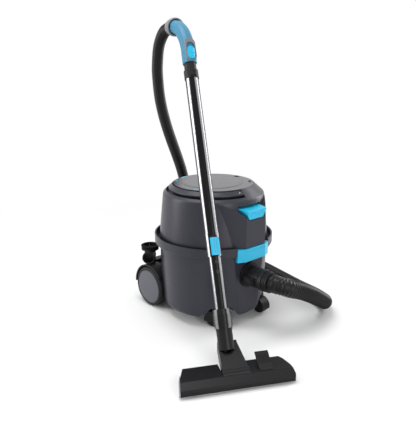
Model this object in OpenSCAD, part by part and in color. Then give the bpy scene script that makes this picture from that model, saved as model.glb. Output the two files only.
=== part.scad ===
// Commercial tub vacuum cleaner with hose, telescopic wand and floor nozzle.
// Millimetres. +Z is up, the front of the machine faces -Y and its right side
// faces -X. The origin lies on the floor under the tub's centre.

/* [Tub] */
// Outer radius of the tub at its upper edge.
tub_r = 160; // [156:1:166]
// Outer radius of the tub near its foot.
tub_foot_r = 152; // [149:1:154]
// Height of the tub's underside above the floor.
tub_floor_z = 30; // [28:1:33]
// Height of the seam where the head lifts off.
seam_z = 236; // [232:1:240]
// Wall of the moulded shells.
wall = 4; // [3.5:0.5:5]
// How far the bumper ring stands out from the tub.
ring_out = 15; // [13:1:18]

/* [Head] */
// Height of the head's top above the floor.
head_top_z = 396; // [390:1:404]
// Radius of the flat top.
top_r = 118; // [116:1:120]
// Radius of the lift-off filter cover in the top.
cover_r = 90; // [86:1:92]
// How far the front nose stands out from the tub's circle.
nose_out = 12; // [10:1:14]
// Radius of the fan rotor.
fan_r = 48; // [40:1:54]

/* [Carry handle] */
// Height of the finger gap under the carry handle.
finger_gap = 7; // [6:1:8]
// Radius of the two pivot pins.
bail_pin_r = 3; // [2:0.5:3.5]

/* [Wheels] */
// Radius of the two rear wheels.
wheel_r = 62; // [60:1:64]
// Width of a rear wheel.
wheel_w = 36; // [32:1:38]
// Distance over the outer faces of the rear wheels.
track_w = 290; // [286:1:296]
// Radius of the steel stub axles.
axle_r = 6; // [5:0.5:7]
// Radius of the front castor wheels.
castor_r = 22; // [21:0.5:22]
// Width of a front castor wheel.
castor_w = 22; // [18:1:23]

/* [Hose inlet] */
// Height of the inlet's centre.
inlet_z = 152; // [148:1:156]
// Bore radius of the inlet socket.
inlet_bore_r = 24.05; // [23.05:0.5:25.05]
// How far the hose cuff stands out in front of the tub.
cuff_reach = 70; // [66:1:74]

/* [Hose] */
// Hose radius at the machine end.
hose_r_inlet = 26; // [24:1:26]
// Hose radius at the handle end.
hose_r_handle = 18; // [17:0.5:19]

/* [Wand] */
// Outer radius of the upper tube.
wand_r = 18; // [17.5:0.5:19]
// Outer radius of the lower tube.
inner_tube_r = 15.9; // [15.4:0.1:16.1]
// Tilt of the wand from the vertical.
wand_lean = 27; // [26:0.5:28]
// Tube length from the nozzle pivot to the handle.
wand_top = 755; // [750:1:762]
// How far the upper tube can be pulled out.
wand_travel = 250; // [200:10:250]

/* [Handle] */
// Radius of the bent grip.
grip_r = 18.5; // [18:0.5:19.5]
// Radius of the swivel collar at the hose end.
swivel_r = 26; // [25:1:27]
// Travel of the air slider in its slot.
slider_travel = 12; // [8:1:12]

/* [Floor nozzle] */
// Width of the floor nozzle.
nozzle_w = 282; // [270:2:300]
// Depth of the floor nozzle.
nozzle_d = 84; // [82:1:88]
// Width of the foot pedal.
pedal_w = 34; // [28:1:38]
// Drop of the brush strips when the pedal is pressed.
brush_drop = 4; // [3:0.5:4]

/* [Dusting brush] */
// Bore radius of the brush's socket.
brush_bore_r = 16; // [15:0.5:16.5]
// Height of the brush's bristle ring.
tuft_h = 12; // [9:1:16]

/* [Hidden] */
$fn = 64;
run = 0.05;
body_c = [0.25, 0.25, 0.28];
dark_c = [0.09, 0.09, 0.1];
top_c = [0.55, 0.55, 0.57];
cyan_c = [0.19, 0.76, 0.91];
teal_c = [0.24, 0.54, 0.66];
steel_c = [0.75, 0.75, 0.77];
grey_c = [0.5, 0.5, 0.52];

shoulder_r = tub_r - 12;
shoulder_z = head_top_z - 27;
exhaust_z = shoulder_z - 17;
front_y = -(tub_r - 12);
front_top_z = 205;
ring_z = seam_z - 14;
ring_r = tub_r + ring_out;
rear_y = tub_r - 20;
wheel_in_x = track_w / 2 - wheel_w;
well_x = wheel_in_x - 3;
castor_x = 79;
castor_y = -109;
castor_ceiling = 64;
castor_well_r = 62;
castor_top_r = 36;
castor_trail = 15;
hinge_y = tub_r + 4;
hinge_z = seam_z + 13;
latch_y = -(tub_r + 3.5);
latch_z = ring_z - 14;
bail_x = -18;
bail_end_r = 9;
bail_z = head_top_z - bail_end_r;
pedal_pin_y = -140;
pedal_pin_z = 340;
socket_out = 8;
socket_in = 26;
cuff_bore_r = inlet_bore_r - 3;
nozzle_pivot = [-222, -290, 36];
wand_turn = 26.5;
nozzle_turn = 28.5;
sleeve_s = 250;
sleeve_len = 59;
coupling_s = 72;
coupling_len = 47;
inner_top_s = sleeve_s + wand_travel + 100;
grip_s = wand_top - 7;
grip_twist = 9;
grip_straight = 62;
grip_bend_r = 132;
grip_bend = 61;
slider_len = 37;
slot_len = slider_len + slider_travel + 2;
barrel_y = -52;
barrel_z = 23;
barrel_r = 14;
pedal_x = 57;
pedal_y = -52;
pedal_z = 27;
brush_x = -110;
brush_y = 172;
brush_z = tub_floor_z + 123;
brush_foot = 19.5;

// Places a thing on the wand: Z runs up the tube, -Y faces forward.
module on_wand(s) {
  translate(nozzle_pivot) rotate([0, 0, -wand_turn]) rotate([-wand_lean, 0, 0])
    translate([0, 0, s]) children();
}

// Places a thing at the start of the handle.
module on_grip() { on_wand(grip_s) rotate([0, 0, grip_twist]) children(); }

// Places a thing at the hose end of the handle, with Z along the hose.
module on_grip_end() {
  on_grip() translate([0, 0, grip_straight]) translate([0, grip_bend_r, 0])
    rotate([-grip_bend, 0, 0]) translate([0, -grip_bend_r, 0]) children();
}

// Places a thing in the nozzle's frame: X across, -Y forward, Z from the floor.
module on_nozzle() {
  translate([nozzle_pivot[0], nozzle_pivot[1], 0]) rotate([0, 0, -nozzle_turn])
    translate([5, 0, 0]) children();
}

// Mirrors a thing to the left (1) or right (-1) side of the machine.
module side(s) { if (s > 0) children(); else mirror([1, 0, 0]) children(); }

module both_sides() { children(); mirror([1, 0, 0]) children(); }

module tube(ro, ri, h) {
  difference() { cylinder(r = ro, h = h); translate([0, 0, -1]) cylinder(r = ri, h = h + 2); }
}

// ---------------------------------------------------------------- tub

module tub_solid(o) {
  up = o > 0 ? 1 : 0;
  rotate_extrude($fn = 128) polygon([
    [0, tub_floor_z + o], [tub_foot_r - 12, tub_floor_z + o],
    [tub_foot_r - 3.5 - o * 0.7, tub_floor_z + 3.5 + o * 0.7],
    [tub_foot_r - o, tub_floor_z + 12], [tub_r - o, ring_z],
    [tub_r - o, seam_z + up], [0, seam_z + up]]);
}

module front_cut(o) {
  translate([-100, front_y + o - 60, 0]) cube([200, 60, front_top_z + o]);
}

module castor_wells(o) {
  both_sides() translate([castor_x, castor_y, tub_floor_z - 2])
    cylinder(r1 = castor_well_r + o, r2 = castor_top_r + o, h = castor_ceiling - tub_floor_z + 2 + o, $fn = 96);
}

module wheel_wells(o) {
  both_sides() translate([well_x - o, rear_y, wheel_r]) rotate([0, 90, 0])
    cylinder(r = wheel_r + 4 + o, h = 80);
}

module side_panels() {
  intersection() {
    difference() { tub_solid(0); tub_solid(1.2); }
    both_sides() translate([60, 0, 0]) rotate([90, 0, 90]) linear_extrude(120)
      polygon([[-67, tub_floor_z - 1], [-67, 160], [-64, 169], [-56, 176], [-40, 184], [-8, 190],
        [60, 190], [72, 178], [72, tub_floor_z - 1]]);
  }
}

module container() color(body_c) difference() {
  union() {
    difference() {
      tub_solid(0);
      front_cut(0);
      castor_wells(0);
      wheel_wells(0);
      side_panels();
      difference() { tub_solid(wall); front_cut(wall); castor_wells(wall); wheel_wells(wall); }
    }
    both_sides() translate([castor_x, castor_y, castor_ceiling + 1]) cylinder(r = 10, h = 24);
    intersection() {
      both_sides() translate([20, -(tub_r + 7), latch_z - 3]) cube([4, 20, 6.5]);
      translate([0, 0, latch_z - 5]) tube(tub_r + 8, tub_r - wall, 12);
    }
  }
  translate([0, front_y - 10, inlet_z]) rotate([-90, 0, 0]) cylinder(r = inlet_bore_r + 4, h = 30);
  both_sides() translate([castor_x, castor_y, castor_ceiling - 1]) cylinder(r = 5 + run, h = 22);
  translate([-30, latch_y, latch_z]) rotate([0, 90, 0]) cylinder(r = 1.5, h = 60, $fn = 24);
}

module bumper_ring() color(body_c) rotate([0, 0, -69]) rotate_extrude(angle = 318, $fn = 128)
  polygon([[tub_r, ring_z], [ring_r - 1, ring_z], [ring_r, ring_z + 2], [ring_r, ring_z + 25],
    [ring_r - 4, ring_z + 25], [ring_r - 4, ring_z + 4], [tub_r, ring_z + 4]]);

module chassis() color(dark_c) difference() {
  union() {
    difference() {
      translate([0, 0, tub_floor_z + 6]) linear_extrude(88) polygon([[-well_x, 90], [-well_x, 176],
        [-80, 190], [80, 190], [well_x, 176], [well_x, 90]]);
      translate([0, 0, tub_floor_z + 5]) linear_extrude(85) difference() {
        polygon([[-well_x + wall, 90], [-well_x + wall, 173], [-79, 186], [79, 186],
          [well_x - wall, 173], [well_x - wall, 90]]);
        circle(r = tub_r + wall, $fn = 128);
      }
    }
    translate([-60, 150, tub_floor_z + 94]) cube([120, 34, 26]);
    both_sides() {
      translate([well_x - 34, rear_y, wheel_r]) rotate([0, 90, 0]) cylinder(r = 12, h = 34);
      translate([well_x, rear_y, wheel_r]) rotate([90, 0, 90]) rotate_extrude(angle = 140, $fn = 96)
        translate([wheel_r + 4, 0]) square([4, wheel_w]);
      translate([well_x - wall, rear_y, wheel_r]) rotate([90, 0, 90]) rotate_extrude(angle = 180, $fn = 96)
        translate([20, 0]) square([wheel_r - 12, wall]);
    }
  }
  tub_solid(0);
  both_sides() translate([well_x - 30, rear_y, wheel_r]) rotate([0, 90, 0]) cylinder(r = axle_r, h = 40);
}

module stub_axles() color(steel_c) both_sides() {
  translate([well_x - 30, rear_y, wheel_r]) rotate([0, 90, 0]) cylinder(r = axle_r, h = 30 + wheel_w - 4);
}

// Profile of a rear wheel: X is the radius, Y the distance from its inner face.
module rear_wheel(s) color(dark_c) side(s) translate([wheel_in_x, rear_y, wheel_r]) rotate([0, 90, 0])
  difference() {
    union() {
      rotate_extrude($fn = 128) polygon([[axle_r + run, 0], [14, 0], [14, 10], [wheel_r - 13, 10],
        [wheel_r - 13, 0], [wheel_r - 3, 0], [wheel_r, 4], [wheel_r, wheel_w - 7], [wheel_r - 3, wheel_w - 2],
        [wheel_r - 6, wheel_w], [wheel_r - 9.5, wheel_w], [wheel_r - 9.5, wheel_w - 6],
        [wheel_r - 13, wheel_w - 6], [wheel_r - 13, 14], [14, 14], [14, wheel_w - 6],
        [axle_r + run, wheel_w - 6]]);
      for (a = [0:60:300]) rotate([0, 0, a]) translate([13, -1.5, 3]) cube([wheel_r - 25, 3, 8]);
    }
    for (a = [30:60:330]) rotate([0, 0, a]) translate([32, 0, -1]) cylinder(r = 7, h = 20);
  }

module hub_cap(s) color(grey_c) side(s) translate([wheel_in_x + wheel_w, rear_y, wheel_r])
  rotate([0, 90, 0]) rotate_extrude($fn = 128) polygon([[0, -3.5], [wheel_r - 11.5, -3.5], [wheel_r - 11.5, -6],
    [wheel_r - 9.5, -6], [wheel_r - 9.5, -1.5], [wheel_r - 12, 0], [30, 1], [0, 1.2]]);

module castor_at(s) {
  translate([s * castor_x, castor_y, 0]) rotate([0, 0, s > 0 ? 0 : -158]) children();
}

module castor_fork(s) color(dark_c) castor_at(s) {
  translate([-castor_w / 2 - 2, -castor_trail, castor_r]) rotate([0, 90, 0])
    cylinder(r = 3, h = castor_w + 4, $fn = 32);
  castor_hood();
}

module castor_hood() difference() {
  union() {
    cylinder(r = 5, h = castor_ceiling + 18);
    translate([0, 0, castor_r + 28]) cylinder(r = 20, h = castor_ceiling - castor_r - 28.3);
    intersection() {
      translate([-castor_w / 2 - 4, -castor_trail - 26, castor_r - 7])
        cube([castor_w + 8, castor_trail + 44, castor_ceiling - castor_r - 1]);
      union() {
        translate([-40, -castor_trail, castor_r]) rotate([0, 90, 0]) cylinder(r = castor_r + 4, h = 80);
        translate([-40, -castor_trail, castor_r]) cube([80, castor_trail + 17, castor_ceiling - castor_r - 4]);
      }
    }
  }
  translate([-castor_w / 2 - 0.5, -castor_trail, castor_r]) rotate([0, 90, 0])
    cylinder(r = castor_r + 1.5, h = castor_w + 1);
  translate([-castor_w / 2 - 0.5, -castor_trail - castor_r - 1.5, -1])
    cube([castor_w + 1, 2 * castor_r + 3, castor_r + 1]);
}

module castor_wheel(s) color(grey_c) castor_at(s) translate([-castor_w / 2, -castor_trail, castor_r])
  rotate([0, 90, 0]) rotate_extrude($fn = 64) polygon([[3 + run, 0], [7, 0], [7, 3], [14, 3], [15, 0],
    [castor_r - 1.5, 0], [castor_r, 2], [castor_r, castor_w - 2], [castor_r - 1.5, castor_w],
    [15, castor_w], [14, castor_w - 3], [7, castor_w - 3], [7, castor_w], [3 + run, castor_w]]);

// ---------------------------------------------------------------- inlet

module inlet_socket() color(dark_c) translate([0, front_y, inlet_z]) rotate([90, 0, 0]) difference() {
  union() {
    cylinder(r = 37, h = socket_out - 2);
    cylinder(r = 35.5, h = socket_out);
    translate([0, 0, -socket_in]) cylinder(r = inlet_bore_r + 4, h = socket_in);
  }
  translate([0, 0, -socket_in - 1]) cylinder(r = inlet_bore_r, h = socket_in + socket_out + 2);
}

module cuff_body() translate([0, front_y - socket_out, inlet_z]) rotate([90, 0, 0])
  difference() {
    union() {
      translate([0, 0, -socket_in - 4]) cylinder(r = inlet_bore_r - run, h = socket_in + 6);
      cylinder(r = 31, h = 3);
      cylinder(r = 29, h = cuff_reach - socket_out - 14);
      translate([0, 0, cuff_reach - socket_out - 14]) cylinder(r1 = 29, r2 = 31, h = 4, $fn = 48);
      translate([0, 0, cuff_reach - socket_out - 10]) cylinder(r = 31, h = 10);
      for (z = [14, 20, 26]) translate([0, 0, z]) cylinder(r = 29.8, h = 2.5);
      translate([-36, -10, 4]) cube([12, 20, 36]);
    }
    translate([0, 0, -40]) cylinder(r = cuff_bore_r, h = 140);
    translate([-36.5, -7.5, 8]) cube([7, 15, 28]);
  }

module cuff_button() color(dark_c) translate([0, front_y - socket_out, inlet_z]) rotate([90, 0, 0])
  translate([-38.5, -7.2, 8.3]) cube([5.5, 14.4, 27.4]);

module cuff_collar() translate([0, front_y - cuff_reach, inlet_z]) rotate([90, 0, 0])
  difference() {
    union() {
      cylinder(r = hose_r_inlet + 2, h = 18);
      for (z = [2, 8, 14]) translate([0, 0, z]) cylinder(r = hose_r_inlet + 3.5, h = 3);
    }
    translate([0, 0, -1]) cylinder(r = cuff_bore_r, h = 20);
  }

module bag_collar() translate([0, front_y + socket_in, inlet_z])
  rotate([90, 0, 0]) difference() {
    translate([-45, -45, 8]) cube([90, 90, 3]);
    cylinder(r = inlet_bore_r + 4, h = 20);
  }

module bag_sack() difference() {
  dust_bag_form(0);
  dust_bag_form(2);
  translate([0, front_y + 60, inlet_z]) rotate([90, 0, 0]) cylinder(r = inlet_bore_r + 4, h = 50);
}

module dust_bag_form(o) {
  yb = front_y + socket_in - 8;
  intersection() {
    translate([-90 + o, yb + o, 74 + o]) cube([180 - 2 * o, 190 - 2 * o, 126 - 2 * o]);
    translate([0, yb + 95, 0]) cylinder(r = 95 - o, h = 260, $fn = 96);
  }
}

// ---------------------------------------------------------------- hinge and latch

module hinge_bracket() color(dark_c) difference() {
  union() {
    translate([-30, tub_r - 6, ring_z + 4]) cube([60, 16.5, 10]);
    for (x = [-29, 22]) {
      translate([x, hinge_y - 5.5, ring_z + 4]) cube([7, 10, hinge_z - ring_z - 4]);
      translate([x, hinge_y, hinge_z]) rotate([0, 90, 0]) cylinder(r = 5.5, h = 7);
    }
  }
  tub_solid(0);
  translate([0, 0, ring_z - 1]) difference() { cylinder(r = ring_r + 20, h = 40);
    translate([0, 0, -1]) cylinder(r = ring_r - 4, h = 60, $fn = 128); }
  translate([-40, hinge_y, hinge_z]) rotate([0, 90, 0]) cylinder(r = 3, h = 80, $fn = 32);
}

module hinge_pin() translate([-29, hinge_y, hinge_z]) rotate([0, 90, 0])
  cylinder(r = 3, h = 58, $fn = 32);

module latch_pin() translate([-36, latch_y, latch_z]) rotate([0, 90, 0])
  cylinder(r = 1.5, h = 72, $fn = 24);

module latch_plan(o) difference() {
  polygon([[-61.8 + o, -(tub_r + 3.6 - o)], [-38 + o * 0.6, -(tub_r + nose_out + 2 - o)],
    [38 - o * 0.6, -(tub_r + nose_out + 2 - o)], [61.8 - o, -(tub_r + 3.6 - o)], [54, -143], [-54, -143]]);
  circle(r = tub_r + 1, $fn = 128);
}

module front_latch() color(cyan_c) difference() {
  union() {
    translate([0, 0, latch_z - 3]) linear_extrude(37) latch_plan(0);
    translate([-37, latch_y, latch_z]) rotate([0, 90, 0]) cylinder(r = 2.6, h = 74, $fn = 32);
  }
  translate([0, 0, latch_z + 5]) linear_extrude(26) difference() { latch_plan(2.5); circle(r = tub_r + 1); }
  for (x = [-25, 19]) translate([x, -(tub_r + 9), latch_z - 8]) cube([6, 20, 13.5]);
  translate([-40, latch_y, latch_z]) rotate([0, 90, 0]) cylinder(r = 1.5 + run, h = 80, $fn = 24);
  translate([-37, -(tub_r + nose_out + 3), latch_z + 24]) cube([74, 1.8, 3]);
}

// ---------------------------------------------------------------- head

// Inner radius of the head's wall at a height.
function head_in_r(z) = tub_r - wall
  - (tub_r - shoulder_r) * (z - ring_z - 25) / (shoulder_z - ring_z - 25);

module head_envelope() rotate_extrude($fn = 128) polygon([[0, seam_z + 1], [tub_r, seam_z + 1],
  [tub_r, ring_z + 25], [shoulder_r + 0.8, shoulder_z - 8], [shoulder_r, shoulder_z - 2],
  [shoulder_r - 2, shoulder_z + 2], [top_r, head_top_z], [0, head_top_z]]);

// Half of the nose's front outline, with the dip that takes the pedal.
nose_half = [[106, latch_z + 36.5], [106, shoulder_z - 1], [102, shoulder_z - 1], [88, shoulder_z - 4],
  [75, shoulder_z - 9], [63, shoulder_z - 16], [53, shoulder_z - 24], [44, shoulder_z - 32],
  [36, shoulder_z - 40], [30, shoulder_z - 47], [0, shoulder_z - 47], [0, latch_z + 36.5]];

module nose() intersection() {
  translate([0, 0, latch_z]) linear_extrude(200) polygon([[-104, 56 - tub_r], [-81, 31 - tub_r],
    [-60, 9 - tub_r], [-38, -tub_r - nose_out], [38, -tub_r - nose_out], [60, 9 - tub_r],
    [81, 31 - tub_r], [104, 56 - tub_r], [60, -70], [-60, -70]]);
  both_sides() translate([0, -60, 0]) rotate([90, 0, 0]) linear_extrude(140) polygon(nose_half);
}

// Front outline of the power pedal, grown by o.
module pedal_front(o) polygon([[-41 - o, pedal_pin_z + 8], [-41 - o, pedal_pin_z + 12 + 3 * o],
  [41 + o, pedal_pin_z + 12 + 3 * o], [41 + o, pedal_pin_z + 8], [27 + o, pedal_pin_z - 17 - 1.6 * o],
  [-27 - o, pedal_pin_z - 17 - 1.6 * o]]);

module pedal_pocket(o, back) translate([0, back, 0]) rotate([90, 0, 0]) linear_extrude(60) pedal_front(o);

module bail_recess() rotate([0, 0, 93.5]) rotate_extrude(angle = 173, $fn = 128)
  translate([top_r - 1, shoulder_z - 3]) square([15 + finger_gap, 60]);

module head_housing() color(body_c) difference() {
  union() {
    difference() {
      union() {
        head_envelope();
        nose();
        translate([-21.5, tub_r - 6, hinge_z - 5.5]) cube([43, hinge_y - tub_r + 6, 11]);
        translate([-21.5, hinge_y, hinge_z]) rotate([0, 90, 0]) cylinder(r = 5.5, h = 43);
      }
      difference() {
        rotate_extrude($fn = 128) polygon([[0, seam_z], [tub_r - wall, seam_z], [tub_r - wall, ring_z + 25],
          [head_in_r(shoulder_z - 7), shoulder_z - 7], [top_r - 6, shoulder_z - 7], [top_r - 6, head_top_z - 9],
          [cover_r - 4, head_top_z - 9], [cover_r - 4, head_top_z + 1], [0, head_top_z + 1]]);
        pedal_pocket(1.5 + wall, -124);
      }
      rotate([0, 0, -82]) rotate_extrude(angle = 164, $fn = 128) polygon([[top_r - 8, shoulder_z - 9],
        [shoulder_r - 6, shoulder_z - 9], [shoulder_r - 6, shoulder_z - 2],
        [top_r - 4, head_top_z - 6.5], [top_r - 8, head_top_z - 11]]);
      bail_recess();
      translate([0, 0, head_top_z - 4]) cylinder(r = top_r - 2, h = 10, $fn = 128);
    }
  }
  pedal_pocket(1.5, -128);
  rotate_extrude($fn = 128) polygon([[tub_r - 3.2, seam_z], [tub_r - 0.8, seam_z],
    [tub_r - 0.8, seam_z + 3], [tub_r - 3.2, seam_z + 3]]);
  translate([-30, hinge_y, hinge_z]) rotate([0, 90, 0]) cylinder(r = 3 + run, h = 60, $fn = 32);
  translate([-50, pedal_pin_y, pedal_pin_z]) rotate([0, 90, 0]) cylinder(r = 2, h = 100, $fn = 24);
  bail_pins();
}

module head_seal() rotate_extrude($fn = 128) polygon([[tub_r - 3.2, seam_z],
  [tub_r - 0.8, seam_z], [tub_r - 0.8, seam_z + 3], [tub_r - 3.2, seam_z + 3]]);

module head_base() color(dark_c) difference() {
  union() {
    translate([0, 0, seam_z + 4]) cylinder(r = tub_r - wall, h = 5, $fn = 128);
    translate([0, 0, seam_z - 2]) tube(64, 60, 6);
    for (a = [0:45:315]) rotate([0, 0, a]) translate([72, -1.5, seam_z + 8]) cube([70, 3, 9]);
  }
  translate([0, 0, seam_z - 3]) cylinder(r = 34, h = 20);
  for (a = [15:30:345]) rotate([0, 0, a]) translate([48, 0, seam_z]) cylinder(r = 6, h = 20, $fn = 32);
}

module motor_filter() color([0.85, 0.85, 0.82]) translate([0, 0, seam_z - 24]) difference() {
  union() {
    cylinder(r = 60, h = 28);
    for (a = [0:20:340]) rotate([0, 0, a]) translate([58, -3, 0]) cube([4, 6, 21]);
  }
  translate([0, 0, 4]) cylinder(r = 54, h = 30);
}

module motor_gasket() translate([0, 0, seam_z + 9]) tube(68, 58, 4);

module fan_case() color(steel_c) translate([0, 0, seam_z + 13]) difference() {
  union() { cylinder(r = 68, h = 34); cylinder(r = 58, h = 36); }
  translate([0, 0, 3]) cylinder(r = fan_r + 8, h = 28);
  translate([0, 0, -1]) cylinder(r = 26, h = 5);
  translate([0, 0, 30]) cylinder(r = 12, h = 20);
  for (a = [0:30:330]) rotate([0, 0, a]) translate([47, 0, 28]) cylinder(r = 4, h = 20, $fn = 24);
}

module fan_rotor() color(steel_c) translate([0, 0, seam_z + 13]) {
  difference() {
    union() {
      translate([0, 0, 8]) cylinder(r = fan_r, h = 2);
      translate([0, 0, 24]) difference() { cylinder(r = fan_r, h = 2); cylinder(r = 20, h = 9, center = true); }
      for (a = [0:40:320]) rotate([0, 0, a]) translate([20, -1, 9]) cube([fan_r - 20, 2, 16]);
      cylinder(r = 9, h = 26);
    }
  }
  translate([0, 0, 25]) cylinder(r = 4, h = 76);
  translate([0, 0, 44]) cylinder(r = 26, h = 34);
  translate([0, 0, 80]) cylinder(r = 14, h = 10);
}

module motor_housing() color(dark_c) translate([0, 0, seam_z + 49]) difference() {
  cylinder(r = 52, h = exhaust_z - seam_z - 49);
  translate([0, 0, 3]) cylinder(r = 44, h = exhaust_z - seam_z - 57);
  translate([0, 0, -1]) cylinder(r = 4 + run, h = 120);
  for (a = [0:45:315]) rotate([0, 0, a]) translate([28, 0, -1]) cylinder(r = 6, h = 120, $fn = 24);
  for (a = [0:30:330]) rotate([0, 0, a]) translate([40, 0, 45]) rotate([0, 90, 0])
    cylinder(r = 4, h = 20, $fn = 24);
}

module stator() color([0.65, 0.4, 0.2]) translate([0, 0, seam_z + 57]) difference() {
  cylinder(r = 44, h = 36);
  translate([0, 0, -1]) cylinder(r = 26.4, h = 40);
  for (a = [0:60:300]) rotate([0, 0, a]) translate([33, 0, -1]) cylinder(r = 4, h = 40, $fn = 24);
}

module exhaust_tray() color(dark_c) difference() {
  union() {
    rotate_extrude($fn = 128) polygon([[20, exhaust_z], [head_in_r(exhaust_z), exhaust_z],
      [head_in_r(exhaust_z + 4), exhaust_z + 4], [20, exhaust_z + 4]]);
    translate([0, 6, exhaust_z + 4]) tube(cover_r - 5, cover_r - 8, 26);
  }
  pedal_pocket(1.5 + wall, -124);
  for (a = [0:30:330]) rotate([0, 0, a]) translate([45, 0, exhaust_z - 1]) cylinder(r = 8, h = 8);
}

module exhaust_filter() color([0.9, 0.9, 0.88]) translate([0, 6, exhaust_z + 4]) difference() {
  cylinder(r = cover_r - 8, h = 28);
  translate([0, 0, -1]) cylinder(r = 30, h = 40);
}

module top_plate() color(top_c) difference() {
  translate([0, 0, head_top_z - 4]) cylinder(r = top_r - 2, h = 4.4, $fn = 128);
  translate([0, 6, head_top_z - 5]) cylinder(r = cover_r + 0.5, h = 10, $fn = 128);
  at_windows() cube([$w, $l, 5]);
  cover_marks();
}

// Two signal windows sunk in the top plate, one square and one long.
module at_windows() for (p = [[104, 7, 4, 14, 16], [82, -68, -38, 8, 21]])
  translate([p[0], p[1], head_top_z - 2]) rotate([0, 0, p[2]]) translate([-p[3] / 2, -p[4] / 2, 0]) {
    $w = p[3];
    $l = p[4];
    children();
  }

module top_windows() at_windows() difference() {
  cube([$w, $l, 2.6]);
  translate([1.5, 2, 1]) cube([$w - 3, $l - 4, 3]);
}

// Three short arcs beside the cover that show where its catches sit.
module cover_marks() for (a = [[96, 13], [127, 8], [196, 8]]) rotate([0, 0, a[0]])
  rotate_extrude(angle = a[1], $fn = 96) translate([top_r - 11, head_top_z - 2]) square([5, 2.8]);

module cover_catches() color(cyan_c) cover_marks();

module filter_cover() color(top_c) translate([0, 6, head_top_z - 7]) difference() {
  rotate_extrude($fn = 128) polygon([[0, 4], [cover_r - 8, 4], [cover_r - 8, 3], [cover_r, 3],
    [cover_r, 7.4], [cover_r - 1.5, 8.2], [cover_r - 7, 8.2], [cover_r - 7.4, 7.8], [cover_r - 7.8, 8.2],
    [0, 8.2]]);
  translate([-20, -22, 7.2]) cylinder(r = 1.6, h = 4, $fn = 24);
}

module switch_module() color(dark_c) {
  translate([-16, -124, pedal_pin_z - 16]) cube([32, 24, 26]);
  top_windows();
}

module power_pedal() color(cyan_c) difference() {
  intersection() {
    translate([-60, 0, 0]) rotate([90, 0, 90]) linear_extrude(120) polygon([
      [-tub_r - nose_out - 4, pedal_pin_z + 6.5], [-tub_r - nose_out - 4, pedal_pin_z + 3.5],
      [-tub_r - nose_out - 1.5, pedal_pin_z + 1], [-tub_r - nose_out - 0.5, pedal_pin_z - 17],
      [-130, pedal_pin_z - 17], [-130, pedal_pin_z + 11.5], [-tub_r - nose_out, pedal_pin_z + 8]]);
    translate([0, -100, 0]) rotate([90, 0, 0]) linear_extrude(100) pedal_front(0);
    translate([0, 0, pedal_pin_z - 20]) linear_extrude(50) polygon([[-36, -tub_r - nose_out - 5],
      [36, -tub_r - nose_out - 5], [41, -150], [41, -129], [-41, -129], [-41, -150]]);
  }
  translate([-23, 1.5 - tub_r - nose_out, pedal_pin_z - 18]) cube([46, tub_r + nose_out - 148.5, 23]);
  translate([-60, pedal_pin_y, pedal_pin_z]) rotate([0, 90, 0]) cylinder(r = 2 + run, h = 120, $fn = 24);
}

module pedal_pin() translate([-44, pedal_pin_y, pedal_pin_z]) rotate([0, 90, 0])
  cylinder(r = 2, h = 88, $fn = 24);

// Section of the carry handle: its outer face carries on the head's slope.
module bail_section() polygon([[top_r + 2.5, head_top_z - 8], [top_r + 2.5, head_top_z - 2],
  [top_r + 13, head_top_z - 11], [top_r + 13.5, head_top_z - 13],
  [top_r + 11, head_top_z - 17], [top_r + 4, head_top_z - 15]]);

module carry_handle() color(body_c) difference() {
  intersection() {
    rotate_extrude($fn = 128) bail_section();
    union() {
      translate([-200, -200, 300]) cube([200 + bail_x, 400, 200]);
      translate([bail_x, -200, bail_z]) rotate([-90, 0, 0]) cylinder(r = bail_end_r, h = 400);
    }
  }
  for (m = [0, 1]) mirror([0, m, 0]) translate([bail_x, top_r - 4, bail_z]) rotate([-90, 0, 0])
    cylinder(r = bail_pin_r + run, h = 12 + run, $fn = 32);
}

module bail_pins() for (m = [0, 1]) mirror([0, m, 0])
  translate([bail_x, top_r - 12, bail_z]) rotate([-90, 0, 0]) cylinder(r = bail_pin_r, h = 20, $fn = 32);

// ---------------------------------------------------------------- wand

module wand_coupling() color(dark_c) on_wand(coupling_s) difference() {
  union() {
    cylinder(r = inner_tube_r + 6, h = coupling_len - 2);
    cylinder(r = inner_tube_r + 5, h = coupling_len);
    for (z = [5:5.5:33]) translate([0, 0, z]) cylinder(r = inner_tube_r + 7.6, h = 3);
  }
  translate([0, 0, 20]) cylinder(r = inner_tube_r, h = 60);
  translate([0, 0, -1]) cylinder(r = inner_tube_r + 1, h = 22);
}

module wand_inner_tube() color(dark_c) on_wand(coupling_s + 20) difference() {
  cylinder(r = inner_tube_r, h = inner_top_s - coupling_s - 20);
  translate([0, 0, -1]) cylinder(r = inner_tube_r - 1.4, h = 600);
  for (i = [0:13]) translate([-5, -inner_tube_r - 1, 115 + 25 * i]) cube([10, 1.7, 9]);
  translate([-1.5, -inner_tube_r - 1, 37]) cube([3, 1.5, 56]);
}

module wand_sleeve() color(dark_c) on_wand(sleeve_s) difference() {
  union() {
    cylinder(r = wand_r + 0.5, h = sleeve_len);
    translate([0, 0, sleeve_len - 6]) cylinder(r = wand_r + 1.2, h = 6);
  }
  translate([0, 0, -1]) cylinder(r = inner_tube_r + run, h = sleeve_len + 2);
  translate([-11.5, -wand_r - 6, 2.7]) cube([23, 7.2, 50]);
}

module wand_button() color(cyan_c) on_wand(sleeve_s) intersection() {
  translate([0, 0, 3]) cylinder(r = wand_r + 3.5, h = 45);
  union() {
    difference() {
      translate([-11.2, -wand_r - 2.4, 3]) cube([22.4, 3.4, 45]);
      translate([-4, -wand_r - 3, 8]) cube([8, 1.4, 34]);
    }
    translate([-2, -wand_r - 3, 10]) cube([4, 3, 30]);
  }
}

module wand_outer_tube() color(dark_c) on_wand(sleeve_s + sleeve_len)
  tube(wand_r, wand_r - 1.9, wand_top - sleeve_s - sleeve_len);

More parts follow.
